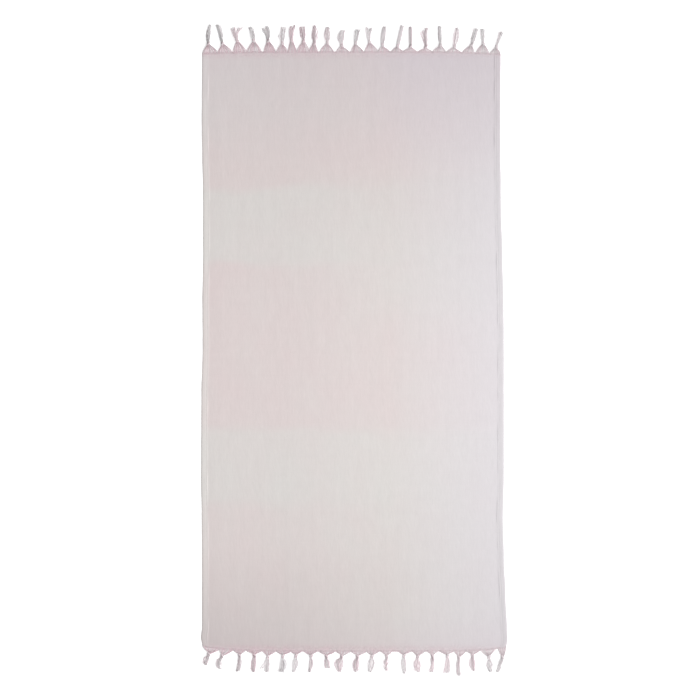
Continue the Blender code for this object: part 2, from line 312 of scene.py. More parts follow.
FOOT_TASSELS_MM = tuple(map(Tassel._make, (
    (-453, -406, -437, 8, -447, 40, -2, 16, 12, 0.5),
    (-404, -366, -397, 13, -405, 52, -5, 20, 15, 0.3),
    (-361, -330, -344, 11, -350, 59, 3, 15, 10, 0.6),
    (-320, -282, -300, 11, -304, 61, 0, 14, 12, 0.8),
    (-272, -239, -259, 15, -261, 61, -1, 15, 12, 0.1),
    (-231, -194, -214, 13, -222, 62, 5, 19, 19, 0.1),
    (-188, -162, -175, 12, -183, 61, 3, 20, 6, 0.2),
    (-148, -115, -129, 13, -135, 61, 3, 13, 6, 0.4),
    (-104, -61, -84, 14, -81, 50, 0, 20, 15, 0.6),
    (-52, -14, -38, 14, -44, 61, -5, 27, 9, 0.6),
    (-8, 34, 9, 15, 6, 61, -3, 18, 14, 0.8),
    (40, 71, 53, 14, 46, 61, 1, 21, 10, 0.2),
    (84, 110, 97, 14, 97, 57, -2, 19, 9, 0.6),
    (135, 166, 149, 12, 151, 65, -1, 15, 6, 0.2),
    (179, 208, 190, 15, 190, 60, 0, 22, 14, 0.7),
    (222, 246, 234, 12, 231, 61, 2, 18, 17, 0.7),
    (258, 297, 279, 12, 276, 64, 2, 17, 19, 0.5),
    (302, 332, 313, 17, 313, 72, 0, 16, 9, 0.4),
    (337, 375, 354, 12, 358, 58, -3, 17, 8, 0.8),
    (381, 422, 404, 16, 408, 61, -1, 19, 7, 0.1),
    (434, 457, 443, 17, 429, 61, 1, 14, 9, 0.1),
)))


def scallop(end, x):
    """How far the end of the weave lies outside its line at x, where the bunches pull on it."""
    pull = 0.0
    for tassel in HEAD_TASSELS_MM if end is HEAD else FOOT_TASSELS_MM:
        if tassel.root_from < x / MM < tassel.root_to:
            share = (x / MM - tassel.root_from) / (tassel.root_to - tassel.root_from)
            pull = (end.pull - end.rest) * math.sin(math.pi * share)
    return (end.rest + pull) * MM


cloth = weave_cloth()


# The cloth's finish. A thread of the warp and one of the weft lie over each other by turns. The
# rose dye took unevenly along the length, and a thread here and there is thicker or paler.

WARP_PITCH = 0.00085
WEFT_PITCH = 0.00095
ECRU = (0.606, 0.598, 0.577, 1.0)
ROSE = (0.628, 0.537, 0.537, 1.0)
LILAC = (0.600, 0.546, 0.578, 1.0)
PALE = (0.625, 0.598, 0.628, 1.0)
# Painted shade: the darker colour that the foot's left corner is blended towards.
PAINTED_SHADE_COLOUR = (0.450, 0.400, 0.400, 1.0)
END_ROSE = (0.600, 0.450, 0.486, 1.0)

# How much rose the dye left along the cloth, from foot to head, near its left and right sides.
DYE_LEFT = (
    (0.0, 0.8), (0.04, 0.62), (0.14, 0.7), (0.235, 0.6), (0.255, 0.3),
    (0.362, 0.34), (0.38, 0.76), (0.64, 0.78), (0.655, 0.32), (0.765, 0.28),
    (0.78, 0.72), (0.83, 0.76), (0.9, 0.54), (1.0, 0.6),
)
DYE_RIGHT = (
    (0.0, 0.55), (0.05, 0.3), (0.11, 0.38), (0.18, 0.28), (0.355, 0.28),
    (0.375, 0.58), (0.5, 0.64), (0.55, 0.54), (0.6, 0.32), (0.7, 0.36),
    (0.775, 0.44), (0.8, 0.7), (0.87, 0.84), (1.0, 0.74),
)
LEFT_TO_RIGHT = ((0.15, 0.0), (0.72, 1.0))

# The other tints' strengths, at shares of the way from the left side or the foot.
PALER_TO_RIGHT = ((0.62, 0.0), (1.0, 0.80))
BLUER_AT_ENDS = ((0.0, 0.40), (0.07, 0.0), (0.80, 0.0), (1.0, 0.95))
BLUER_TO_RIGHT = ((0.50, 0.45), (0.70, 1.0))
# The painted shade's strength, towards the foot and towards the left.
PAINTED_SHADE_AT_FOOT = ((0.0, 0.46), (0.17, 0.0))
PAINTED_SHADE_TO_LEFT = ((0.0, 1.0), (0.8, 0.0))
RUN_IN_TO_LEFT = ((0.0, 1.0), (1.0, 0.35))
# Painted light: the cloth is made lighter towards its left side.
PAINTED_LIGHT_AT_LEFT = ((0.0, 0.040), (0.28, 0.0))

# The patterns in the colour: how wide and how long their spots are, and how strong.
Pattern = namedtuple("Pattern", "across along strength")
BAND_DRIFT = Pattern(0.22, 0.10, 0.06)
BLOTCHES = Pattern(0.10, 0.14, 0.45)
CLOUDS = Pattern(0.020, 0.034, 0.058)
WARP_STREAKS = Pattern(0.0035, 0.110, 0.018)
WEFT_STREAKS = Pattern(0.140, 0.0038, 0.018)
WARP_SLUBS = Pattern(0.0050, 0.030, 0.020)
WEFT_SLUBS = Pattern(0.045, 0.0050, 0.020)
END_PATCHES = Pattern(0.030, 0.016, 1.0)
END_SPECKLE = Pattern(0.0045, 0.0060, 0.70)
SLUB_CUT = ((0.68, 0.0), (0.78, 1.0))  # which spots of the noise are slubs
PATCH_CUT = ((0.36, 0.35), (0.62, 1.0))
THREAD_TONES = 0.016
HEM_FADING = 0.35
HEM_DARKER = 0.010
# Painted light and shade: light and dark lines along the hems, standing for their small folds.
HEM_FOLD_PITCH = 0.0052
HEM_FOLD_PAINTED_SHADING = 0.03
BASE_LIGHT = 0.962
END_DARKER = 0.375
CRINKLES = Pattern(0.009, 0.022, 0.42)
CRINKLE_HEIGHT = 0.0010
WEAVE_STRENGTH = 0.18
WEAVE_HEIGHT = 0.00010


def set_inputs(tree, made, inputs):
    """Sets a node's inputs to values, or joins them to other nodes."""
    for name, value in inputs.items():
        if isinstance(value, bpy.types.NodeSocket):
            tree.links.new(value, made.inputs[name])
        else:
            made.inputs[name].default_value = value


def node(tree, kind, inputs=None, **settings):
    """A new shader node with its settings made and its inputs set or joined."""
    made = tree.nodes.new("ShaderNode" + kind)
    for name, value in settings.items():
        setattr(made, name, value)
    set_inputs(tree, made, inputs or {})
    return made


def sums(tree, operation, first, second=0.0):
    """One step of arithmetic on two values."""
    return node(tree, "Math", {0: first, 1: second}, operation=operation).outputs[0]


def times(tree, first, second):
    return sums(tree, "MULTIPLY", first, second)


def mixed(tree, share, first, second):
    """Two colours, or two greys, blended by a share from 0 to 1."""
    return node(tree, "Mix", {0: share, 6: first, 7: second}, data_type="RGBA").outputs[2]


def graded(tree, value, stops):
    """A value turned into another through a ramp of (place, grey) stops."""
    ramp = node(tree, "ValToRGB", {0: value})
    elements = ramp.color_ramp.elements
    for place, _ in stops[2:]:
        elements.new(place)
    for element, (place, grey) in zip(elements, stops):
        element.position = place
        element.color = (grey, grey, grey, 1.0)
    return ramp.outputs[0]


def spots(tree, across, along, pattern, detail=2.0):
    """Noise from 0 to 1 whose spots have the pattern's sizes across and along the cloth."""
    x, y = sums(tree, "DIVIDE", across, pattern.across), sums(tree, "DIVIDE", along, pattern.along)
    place = node(tree, "CombineXYZ", {0: x, 1: y}).outputs[0]
    return node(tree, "TexNoise", {"Vector": place, "Scale": 1.0, "Detail": detail}).outputs["Fac"]


def wavering(tree, across, along, pattern):
    """The same noise, taken about 0 and at the pattern's strength."""
    about_zero = sums(tree, "SUBTRACT", spots(tree, across, along, pattern), 0.5)
    return times(tree, about_zero, pattern.strength)


def added(tree, total, value, strength):
    """A total with a value added to it at a strength."""
    return sums(tree, "ADD", total, times(tree, value, strength))


def relief(tree, height, strength, distance, under=None):
    """Relief of a height, over another relief where there is one."""
    inputs = {"Height": height, "Strength": strength, "Distance": distance}
    if under is not None:
        inputs["Normal"] = under
    return node(tree, "Bump", inputs).outputs[0]


def mesh_value(tree, name):
    """The number of that name that each vertex of the mesh was given."""
    return node(tree, "Attribute", attribute_name=name).outputs["Fac"]


def new_finish(name, roughness, sheen):
    """A cotton material: its tree, its shader, and a soft sheen on the shader's own sockets."""
    material = bpy.data.materials.new(name)
    material.use_nodes = True
    tree = material.node_tree
    shader = tree.nodes["Principled BSDF"]
    cotton = {
        "Roughness": roughness,
        "Specular IOR Level": 0.25,
        "Sheen Weight": sheen,
        "Sheen Roughness": 0.6,
        "Sheen Tint": (1.0, 0.95, 0.95, 1.0),
    }
    set_inputs(tree, shader, cotton)
    return material, tree, shader


def crossing_threads(tree, across, along):
    """Plain weave: how high the threads stand at a crossing, and the tone of the upper one."""
    warp = sums(tree, "DIVIDE", across, WARP_PITCH)
    weft = sums(tree, "DIVIDE", along, WEFT_PITCH)
    warp_number = sums(tree, "FLOOR", warp)
    weft_number = sums(tree, "FLOOR", weft)
    warp_round = sums(tree, "SINE", times(tree, sums(tree, "FRACT", warp), math.pi))
    weft_round = sums(tree, "SINE", times(tree, sums(tree, "FRACT", weft), math.pi))
    warp_over = sums(tree, "MODULO", sums(tree, "ADD", warp_number, weft_number), 2.0)
    warp_top = times(tree, warp_round, sums(tree, "ADD", weft_round, 1.0))
    weft_top = times(tree, weft_round, sums(tree, "ADD", warp_round, 1.0))
    weft_place = sums(tree, "ADD", weft_number, 0.5)
    warp_tone = node(tree, "TexWhiteNoise", {"W": warp_number}, noise_dimensions="1D").outputs[0]
    weft_tone = node(tree, "TexWhiteNoise", {"W": weft_place}, noise_dimensions="1D").outputs[0]
    height = mixed(tree, warp_over, weft_top, warp_top)
    return height, mixed(tree, warp_over, weft_tone, warp_tone)


def dyed_colour(tree, across, along, hem, edge):
    """The dye: uneven rose bands on ecru, paler to the right, lilac at the ends, and a deeper rose
    that has run into the last picks; and a painted shade, darker and duller, at the foot's left."""
    over = sums(tree, "DIVIDE", across, FLAT_WIDTH)
    up = sums(tree, "DIVIDE", along, FLAT_LENGTH)
    drifted = sums(tree, "ADD", along, wavering(tree, across, along, BAND_DRIFT))
    drifted = sums(tree, "DIVIDE", drifted, FLAT_LENGTH)
    to_right = graded(tree, over, LEFT_TO_RIGHT)
    band = mixed(tree, to_right, graded(tree, drifted, DYE_LEFT), graded(tree, drifted, DYE_RIGHT))
    rose = sums(tree, "ADD", band, wavering(tree, across, along, BLOTCHES))
    on_hem = sums(tree, "SUBTRACT", 1.0, times(tree, hem, HEM_FADING))
    dyed = mixed(tree, times(tree, rose, on_hem), ECRU, ROSE)

    dyed = mixed(tree, graded(tree, over, PALER_TO_RIGHT), dyed, PALE)
    bluer = times(tree, graded(tree, up, BLUER_AT_ENDS), graded(tree, over, BLUER_TO_RIGHT))
    dyed = mixed(tree, bluer, dyed, LILAC)
    # painted shade at the foot's left corner
    painted_shade = times(tree, graded(tree, up, PAINTED_SHADE_AT_FOOT), graded(tree, over, PAINTED_SHADE_TO_LEFT))
    dyed = mixed(tree, painted_shade, dyed, PAINTED_SHADE_COLOUR)
    patches = graded(tree, spots(tree, across, along, END_PATCHES), PATCH_CUT)
    run_in = times(tree, patches, graded(tree, over, RUN_IN_TO_LEFT))
    return mixed(tree, times(tree, edge, run_in), dyed, END_ROSE)


def thread_light(tree, across, along, hem, edge, thread_tone):
    """How light the cloth is: the threads' tones, streaks and slubs, painted light at the left side,
    painted light and shade for small folds across the hems, and the darker, speckled ends."""
    over = sums(tree, "DIVIDE", across, FLAT_WIDTH)
    # painted light at the left side
    light = sums(tree, "ADD", BASE_LIGHT, graded(tree, over, PAINTED_LIGHT_AT_LEFT))
    light = sums(tree, "SUBTRACT", light, times(tree, hem, HEM_DARKER))
    light = added(tree, light, thread_tone, THREAD_TONES)
    for streaks in (WARP_STREAKS, WEFT_STREAKS):
        light = added(tree, light, spots(tree, across, along, streaks), streaks.strength)
    for slubs in (WARP_SLUBS, WEFT_SLUBS):
        slub = graded(tree, spots(tree, across, along, slubs), SLUB_CUT)
        light = added(tree, light, slub, slubs.strength)
    light = sums(tree, "ADD", light, wavering(tree, across, along, CLOUDS))
    # painted light and shade of the hems' small folds
    fold_shading = sums(tree, "SINE", times(tree, across, math.tau / HEM_FOLD_PITCH))
    light = added(tree, light, times(tree, hem, fold_shading), HEM_FOLD_PAINTED_SHADING)
    speckle = times(tree, spots(tree, across, along, END_SPECKLE), END_SPECKLE.strength)
    return added(tree, light, sums(tree, "SUBTRACT", speckle, END_DARKER), edge)


def woven_finish():
    """The cloth's cotton: its dye, the light and dark of its threads, and its relief."""
    material, tree, shader = new_finish("woven rose cotton", 0.88, 0.12)
    place = node(tree, "UVMap", uv_map="weave")
    parts = node(tree, "SeparateXYZ", {0: place.outputs[0]})
    across, along = parts.outputs[0], parts.outputs[1]
    hem, edge = mesh_value(tree, "hem"), mesh_value(tree, "edge")
    thread_height, thread_tone = crossing_threads(tree, across, along)
    dyed = dyed_colour(tree, across, along, hem, edge)
    light = thread_light(tree, across, along, hem, edge, thread_tone)
    colour = node(tree, "VectorMath", {0: dyed, 1: light}, operation="MULTIPLY").outputs[0]
    crinkle = spots(tree, across, along, CRINKLES, 3.0)
    crinkled = relief(tree, crinkle, CRINKLES.strength, CRINKLE_HEIGHT)
    woven = relief(tree, thread_height, WEAVE_STRENGTH, WEAVE_HEIGHT, crinkled)
    set_inputs(tree, shader, {"Base Color": colour, "Normal": woven})
    return material


cloth.data.materials.append(woven_finish())
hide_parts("cloth")
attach(cloth, "root")


# ---------- the hems' stitching
# Two rows of lockstitch in ecru sewing cotton, one along the inner fold of each hem. Each stitch
# is a short length of thread that dips into the cloth at both its ends.

STITCH_PITCH = 0.0036
STITCH_LENGTH = 0.0030
STITCH_THREAD = 0.00045
STITCH_CUTS = (-0.30, 0.0, 0.30)  # where a stitch bends, in shares of its length
STITCH_TAPER = 0.45
STITCH_DIP = 0.9 * STITCH_THREAD  # how far its ends go down into the cloth
STITCH_LIFT = 0.35 * STITCH_THREAD  # how high its middle lies on the cloth
STITCH_TURN = 0.10
STITCH_WOBBLE = 0.0002
ROW_SHORT = 0.006  # how far a row stops from each end of the weave


def one_stitch():
    """A stitch along Y at the origin: a slim barrel with its ends drawn down into the cloth."""
    deselect_all()
    bpy.ops.mesh.primitive_cylinder_add(
        vertices=6, radius=STITCH_THREAD / 2, depth=STITCH_LENGTH, rotation=(math.pi / 2, 0, 0)
    )
    bpy.ops.object.transform_apply()
    stitch = bpy.context.object
    bpy.ops.object.mode_set(mode="EDIT")
    for cut in STITCH_CUTS:
        bpy.ops.mesh.select_all(action="SELECT")
        bpy.ops.mesh.bisect(plane_co=(0, cut * STITCH_LENGTH, 0), plane_no=(0, 1, 0))
    bpy.ops.object.mode_set(mode="OBJECT")
    for vert in stitch.data.vertices:
        share = abs(vert.co.y) / (STITCH_LENGTH / 2)
        slimmer = 1 - STITCH_TAPER * share**3
        vert.co.x *= slimmer
        vert.co.z = vert.co.z * slimmer - STITCH_DIP * share**2
    return stitch


def new_piece(name, points, faces):
    """A new object in the scene, made from points and faces."""
    mesh = bpy.data.meshes.new(name)
    mesh.from_pydata(points.tolist(), [], faces)
    piece = bpy.data.objects.new(name, mesh)
    bpy.context.scene.collection.objects.link(piece)
    return piece


def sew_hem(name, side):
    """One row of stitches, each laid on the hem's upper face where the thread crosses it."""
    stitch = one_stitch()
    shape = np.array([vert.co[:] for vert in stitch.data.vertices])
    faces = [list(face.vertices) for face in stitch.data.polygons]
    points, polygons = [], []
    reach = FLAT_LENGTH / 2 - ROW_SHORT
    count = int(2 * reach / STITCH_PITCH)
    sign = -1 if side == "left" else 1
    for number in range(count):
        y = -reach + (number + 0.5) * 2 * reach / count
        x = sign * (edge_at(side, y) - STITCH_LINE) + edge_wander(y)
        wobble = noise.noise(Vector((0.5 * number, 1.3, 9.0)))
        placed = shape.copy()
        placed[:, 0] = shape[:, 0] - STITCH_TURN * wobble * shape[:, 1] + x + STITCH_WOBBLE * wobble
        placed[:, 1] = shape[:, 1] + y
        placed[:, 2] = shape[:, 2] + cloth_surface(x, y)[1] + STITCH_LIFT
        polygons += [[corner + len(points) * len(shape) for corner in face] for face in faces]
        points.append(placed)
    bpy.data.objects.remove(stitch)
    row = new_piece(name, np.vstack(points), polygons)
    row.data.shade_smooth()
    return row


SEWING_DARK = (0.60, 0.55, 0.54, 1.0)
SEWING_LIGHT = (0.74, 0.70, 0.68, 1.0)
SEWING_PLIES = 900.0  # how closely its plies follow each other


def sewing_finish():
    """Sewing cotton: ecru, tightly twisted."""
    material, tree, shader = new_finish("ecru sewing cotton", 0.75, 0.15)
    place = node(tree, "TexCoord").outputs["Object"]
    plies = {"Vector": place, "Scale": SEWING_PLIES, "Distortion": 1.5}
    twist = node(tree, "TexWave", plies, bands_direction="DIAGONAL").outputs["Fac"]
    colour = mixed(tree, twist, SEWING_DARK, SEWING_LIGHT)
    set_inputs(tree, shader, {"Base Color": colour, "Normal": relief(tree, twist, 0.4, 0.0001)})
    return material


sewing_cotton = sewing_finish()
for side in ("left", "right"):
    row = sew_hem("hem_stitches_" + side, side)
    row.data.materials.append(sewing_cotton)
    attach(row, "root")


# ---------- the fringes
# The warp left long at both ends of the weave. It is gathered a bunch at a time and tied in an
# overhand knot, with the loose ends fanned out below.

THREADS = 30  # in a bunch
GOLDEN_ANGLE = 2.39996  # from one thread of a round bunch to the next
BUNCH_RADIUS = 2.8
KNOT_WIDTH = 4.2  # the size of the knot's turns
NECK_HALF_WIDTH = 6.0  # a bunch just before and just past its knot
ROOT_SPREAD = 4.0  # how far the outer threads of a bunch come from past its own stretch
YARN_SIDES = 4
RADIUS_ROOT = 0.60
RADIUS_KNOT = 0.50
RADIUS_TUFT = 0.74
RADIUS_TIP = 0.58
KNOT_MIDDLE = 4.9  # the height of a knot's middle
KNOT_FLATTENING = 0.8
GATHER_POINTS = 3
GATHER_CLOSES = 1.45  # above 1 the gathered threads close in late, near the knot
GATHER_RISES = 1.4
GATHER_STRAY = 0.22
ROOT_DEEPEST = 9.0  # how far inside the end a warp thread may come loose from the weave
ROOT_NEAREST = 3.0
KNOT_POINTS = 17
TUFT_POINTS = 13
THREAD_POINTS = 2 + GATHER_POINTS + KNOT_POINTS + TUFT_POINTS
TUFT_DEPTH = 5.6
TUFT_FLUFF = 1.2  # how far loose threads carry a tuft out on either side
TUFT_OPENS = 0.3  # the share of a tuft's length over which it reaches its full width
EVENNESS = 1.05  # above 1 it draws a tuft's threads in towards its middle
SHORT_THREADS = 0.18  # the share of a tuft's threads that end early
SHORTER_BY = (0.05, 0.22)
CRIMP = (0.25, 0.75)  # how far a loose thread still waves from side to side
CRIMP_LENGTH = (9.5, 15.0)
STRAY = 1.0
HOOKED_THREADS = 0.4  # the share whose tips hook to one side
HOOK = 2.4
SETTLES = 0.22  # the share of a tuft's length over which it comes down to the table

# How the yarn's dye and tone change along a bunch.
UNDYED_THREADS = 0.22
FADES_TO_RIGHT = 0.5  # how much of the rose before the knots is lost from left to right
# Painted light: the gathered threads are made paler as they near the knot, against its shade.
PAINTED_LIGHT_NEAR_KNOT = 0.5
# Painted shade: the outer threads of each gather are made darker.
OUTER_PAINTED_SHADE = 0.75
# How much darker the threads are made at their tips.
TIPS_DARKER = 0.45

# An overhand knot: the middle line of a bunch as it crosses over itself, passes round and comes
# back through its own loop. In widths of the bunch, from the weave outwards.
Turn = namedtuple("Turn", "across out up")
OVERHAND_KNOT = tuple(map(Turn._make, (
    (0.00, -1.25, 0.00), (-0.10, -0.65, -0.10), (-0.20, 0.10, -0.05),
    (-0.05, 0.80, 0.10), (0.45, 0.95, 0.35), (0.80, 0.35, 0.45),
    (0.35, -0.35, 0.75), (-0.45, -0.75, 0.55), (-0.85, -0.55, -0.05),
    (-0.45, -0.30, -0.60), (0.35, 0.05, -0.65), (0.40, 0.45, -0.25),
    (0.25, 0.90, -0.20), (0.05, 1.30, 0.00),
)))

# Some tufts part below the knot, at a share of their length. A prong belongs to the tassel of
# that number from the left.
Prong = namedtuple("Prong", "tassel tip_x tip_out width threads parts_at")
HEAD_PRONGS_MM = (
    Prong(3, -343, 74, 19, 15, 0.30),
    Prong(5, -275, 72, 10, 11, 0.20),
    Prong(6, -221, 53, 7, 7, 0.05),
    Prong(7, -179, 81, 6, 12, 0.45),
    Prong(13, 48, 71, 10, 17, 0.35),
    Prong(17, 203, 65, 10, 9, 0.25),
)
FOOT_PRONGS_MM = (Prong(5, -280, 55, 4, 6, 0.25),)


def smooth_course(points, count):
    """Points along a smooth curve that passes through the given ones."""
    points = np.asarray(points, float)
    wide = np.vstack((2 * points[0] - points[1], points, 2 * points[-1] - points[-2]))
    course = []
    for place in np.linspace(0, len(points) - 1, count):
        start = min(int(place), len(points) - 2)
        s = place - start
        a, b, c, d = wide[start : start + 4]
        bend = 2 * a - 5 * b + 4 * c - d
        swing = 3 * b - a - 3 * c + d
        course.append(0.5 * (2 * b + (c - a) * s + bend * s**2 + swing * s**3))
    return np.array(course)


def unit(vectors):
    return vectors / np.linalg.norm(vectors, axis=-1, keepdims=True)


def carried_sides(courses, start):
    """Two cross directions at every point of each course, carried along it without a twist."""
    heading = unit(np.gradient(courses, axis=-2))
    side = np.empty_like(courses)
    carried = np.broadcast_to(start, courses[..., 0, :].shape)
    for step in range(courses.shape[-2]):
        ahead = heading[..., step, :]
        carried = unit(carried - ahead * np.sum(carried * ahead, axis=-1, keepdims=True))
        side[..., step, :] = carried
    return side, np.cross(heading, side)


def level_ease(values):
    """ease() for an array."""
    values = np.clip(values, 0, 1)
    return values * values * (3 - 2 * values)


def weave_end(end, x, inside=0.0):
    """Where the weave ends at x, and the height of its upper face there or a little inside."""
    out = (end_line(end, x * MM) + scallop(end, x * MM)) / MM - end.y
    upper = cloth_surface(x * MM, end.side * (end.y + out - inside) * MM)[1]
    return out, (upper - TABLE_TOP) / MM


def between_hems(end):
    """How far left and right a thread of the warp or the weft can lie at an end."""
    y = end.side * end.y * MM
    return -edge_at("left", y) / MM + 1, edge_at("right", y) / MM - 1


def turned(first, second, angle):
    """Two distances, square to each other, after a turn by an angle."""
    cos, sin = np.cos(angle), np.sin(angle)
    return first * cos - second * sin, first * sin + second * cos


def bunch_threads(tassel, prongs, end, seed):
    """The courses of one bunch's threads from inside the weave to their tips, in mm, and how far
    each lies to one side of the bunch."""
    draw = np.random.default_rng(seed)
    root_x = (tassel.root_from + tassel.root_to) / 2
    root = np.array((root_x, weave_end(end, root_x)[0]))
    knot = np.array((tassel.knot_x, tassel.knot_out), float)
    tip = np.array((tassel.tip_x, tassel.tip_out), float)
    outwards = unit(unit(knot - root) + unit(tip - knot))
    sideways = np.array((outwards[1], -outwards[0]))

    # Where each thread lies in the round bunch, and where it leaves the weave
    number = np.arange(THREADS)
    radius = np.sqrt((number + 0.5) / THREADS)
    angle = number * GOLDEN_ANGLE + draw.uniform(0, math.tau)
    aside, above = radius * np.cos(angle), radius * np.sin(angle)
    order = np.argsort(np.argsort(aside))
    share = (order + 0.5 + draw.uniform(-0.3, 0.3, THREADS)) / THREADS
    root_x = tassel.root_from + share * (tassel.root_to - tassel.root_from) + ROOT_SPREAD * aside
    root_x = np.clip(root_x, *between_hems(end))

    # The knot
    width = KNOT_WIDTH * draw.uniform(0.94, 1.06)
    hand = draw.choice((-1, 1))
    roll = draw.uniform(-0.4, 0.4)
    middle = []
    for turn in OVERHAND_KNOT:
        across, up = turned(hand * turn.across * width, turn.up * width * KNOT_FLATTENING, roll)
        flat = knot + sideways * across + outwards * turn.out * width
        middle.append(np.append(flat, KNOT_MIDDLE + up))
    middle = smooth_course(middle, KNOT_POINTS)
    side, over = carried_sides(middle, np.append(sideways, 0.0))
    twist = np.linspace(0, draw.uniform(0.5, 1.2) * hand, KNOT_POINTS)
    from_end = np.minimum(np.arange(KNOT_POINTS), np.arange(KNOT_POINTS)[::-1])
    flare = 1 + (NECK_HALF_WIDTH / BUNCH_RADIUS - 1) * (1 - level_ease(from_end / 4))
    knotted = np.empty((THREADS, KNOT_POINTS, 3))
    for step in range(KNOT_POINTS):
        own_aside, own_above = turned(aside, above, twist[step])
        knotted[:, step] = (
            middle[step]
            + BUNCH_RADIUS * flare[step] * own_aside[:, None] * side[step]
            + BUNCH_RADIUS * KNOT_FLATTENING * own_above[:, None] * over[step]
        )
    knotted[:, :, 2] = np.maximum(knotted[:, :, 2], RADIUS_KNOT)

    # The gather: each thread works loose at the weave's end, then runs straight to the knot
    loose_from = draw.uniform(ROOT_NEAREST, ROOT_DEEPEST, THREADS)
    gathered = []
    for share, outside, sunk in ((1, 0.0, 1.2 * RADIUS_ROOT), (0.5, 0.0, 0.1), (0, 0.8, 0.1)):
        row = []
        for x, inside in zip(root_x, loose_from * share):
            out, upper = weave_end(end, x, inside)
            row.append((x, out - inside + outside, upper - sunk))
        gathered.append(np.array(row))
    leaving = gathered[-1]
    for step in range(1, GATHER_POINTS):
        part = step / GATHER_POINTS
        closing = (part**GATHER_CLOSES, part, part**GATHER_RISES)
        between = leaving + (knotted[:, 0] - leaving) * np.array(closing)
        between[:, :2] += draw.normal(0, GATHER_STRAY, (THREADS, 2))
        gathered.append(between)
    gathered = np.stack(gathered, axis=1)
    gathered[:, :, 2] = np.maximum(gathered[:, :, 2], RADIUS_ROOT)

    # The tuft, which falls to the table and fans out
    start = knotted[:, -1]
    middle_start = middle[-1][:2]
    lean = np.sum((start[:, :2] - middle_start) * sideways, axis=-1) / NECK_HALF_WIDTH
    depth = (start[:, 2] - middle[-1][2]) / BUNCH_RADIUS
    lean = np.clip(lean + draw.normal(0, 0.25, THREADS), -1, 1)
    depth = np.clip(depth + draw.normal(0, 0.25, THREADS), -1, 1)
    swirl = draw.uniform(-1.3, 1.3)
    length = 1 + draw.normal(0, 0.035, THREADS)
    short = draw.random(THREADS) < SHORT_THREADS
    length[short] -= draw.uniform(*SHORTER_BY, short.sum())
    length = np.minimum(length, 1.05)
    apart = np.zeros((THREADS, 2))
    parts_at = np.zeros(THREADS)
    half_middle = np.full(THREADS, tassel.width / 2 + TUFT_FLUFF)
    half_tip = np.full(THREADS, tassel.tip_width / 2 + TUFT_FLUFF)
    own_lean = lean.copy()
    for prong in prongs:
        away = 1 if prong.tip_x > tassel.tip_x else -1
        parting = np.argsort(-away * lean)[: prong.threads]
        staying = np.setdiff1d(number, parting)
        apart[parting] = (prong.tip_x - tassel.tip_x, prong.tip_out - tassel.tip_out)
        parts_at[:] = prong.parts_at
        half_tip[parting] = prong.width / 2
        for group in (parting, staying):
            own_lean[group] = lean[group] - (lean[group].min() + lean[group].max()) / 2
            own_lean[group] /= np.abs(own_lean[group]).max()
        swirl *= 0.2
    tuft = np.empty((THREADS, TUFT_POINTS, 3))
    phase = draw.uniform(0, math.tau, (THREADS, 2))
    crimp = draw.uniform(*CRIMP, THREADS)
    wave = draw.uniform(*CRIMP_LENGTH, THREADS)
    drift = draw.normal(0, STRAY, THREADS)
    hook = draw.normal(0, HOOK, THREADS) * (draw.random(THREADS) < HOOKED_THREADS)
    for step in range(TUFT_POINTS):
        part = (step + 1) / TUFT_POINTS * length
        across = np.clip(part, 0, 1)
        line = middle_start + (tip - middle_start) * part[:, None]
        line[:, 0] += 4 * across * (1 - across) * tassel.bow
        parted = level_ease((part - parts_at) / (1 - parts_at))
        line += apart * parted[:, None]
        spread = np.where(
            across < TUFT_OPENS,
            NECK_HALF_WIDTH + (half_middle - NECK_HALF_WIDTH) * level_ease(across / TUFT_OPENS),
            half_middle + (half_tip - half_middle) * level_ease((across - 0.5) / 0.5),
        )
        spread = np.maximum(spread - RADIUS_TUFT, 0.6)
        wide, high = turned(lean + (own_lean - lean) * parted, depth, swirl * part)
        wide = np.sign(wide) * (np.abs(wide) / np.abs(wide).max()) ** EVENNESS
        run = part * np.linalg.norm(tip - middle_start)
        settle = level_ease(part / SETTLES)
        sway = crimp * np.sin(math.tau * run / wave + phase[:, 0]) * settle
        bob = 0.6 * crimp * np.sin(math.tau * run / (0.8 * wave) + phase[:, 1]) * settle
        place = wide * spread + sway + drift * part**2 + hook * level_ease((part - 0.7) / 0.3)
        flat = line + place[:, None] * sideways
        resting = RADIUS_TUFT + (0.5 + 0.5 * high) * TUFT_DEPTH * (1 - 0.45 * across) + bob
        hanging = middle[-1][2] + BUNCH_RADIUS * depth * KNOT_FLATTENING
        level = hanging + (resting - hanging) * settle
        tuft[:, step] = np.column_stack((flat, np.maximum(level, RADIUS_TUFT)))
    return np.concatenate((gathered, knotted, tuft), axis=1), aside


def thread_radii():
    """How thick a bunch's thread is at each of its points: tight in the knot, open in the tuft."""
    gathered = np.linspace(RADIUS_ROOT, RADIUS_KNOT, GATHER_POINTS + 2)
    gathered[0] = RADIUS_ROOT / 2
    knotted = np.full(KNOT_POINTS, RADIUS_KNOT)
    opening = np.linspace(RADIUS_KNOT, RADIUS_TUFT, 4)
    tuft = np.concatenate((opening, np.full(TUFT_POINTS - 6, RADIUS_TUFT), (RADIUS_TIP, RADIUS_TIP * 0.7)))
    return np.concatenate((gathered, knotted, tuft))


def past_knot():
    """How far each point of a bunch's threads is past its knot, from 0 to 1."""
    return level_ease((np.arange(THREAD_POINTS) - GATHER_POINTS) / KNOT_POINTS)


